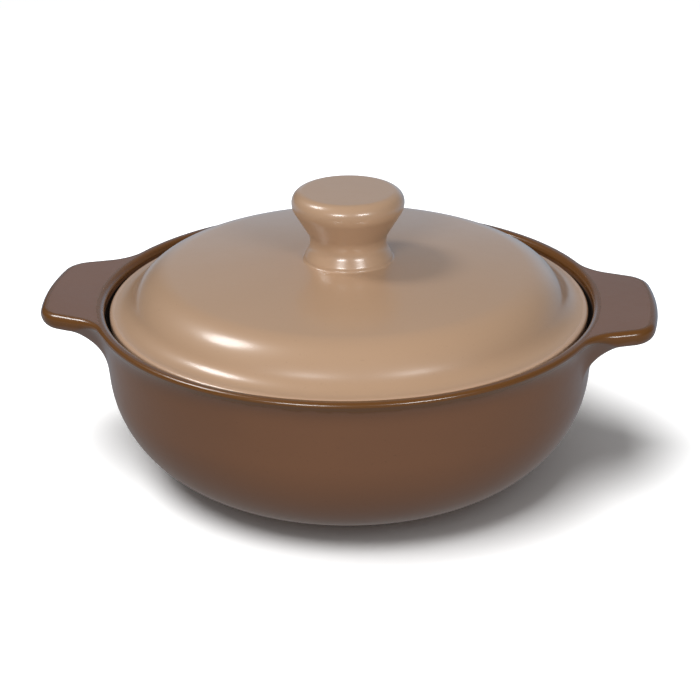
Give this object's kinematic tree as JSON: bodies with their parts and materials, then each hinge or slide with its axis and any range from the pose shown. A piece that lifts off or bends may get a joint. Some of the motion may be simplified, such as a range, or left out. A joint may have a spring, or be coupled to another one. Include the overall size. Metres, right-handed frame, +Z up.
{
  "type": "stoneware casserole",
  "caption": "Shallow round stoneware casserole with flat side handles drawn out of its rim and a low domed lid with a turned knob, for oven and table.",
  "frame": {"origin": "middle of the foot ring's underside, on the surface that the pot stands on", "axes": "+Z up along the pot's axis, +X along the handles"},
  "size_m": [0.283, 0.2354, 0.1294],
  "materials": {
    "brown_glaze": "satin brown glaze, foot ring left bare",
    "tan_glaze": "satin tan glaze, seat of the flange left bare"
  },
  "bodies": {
    "root": {"pot": "brown_glaze", "lid": "tan_glaze"}
  },
  "joints": []
}
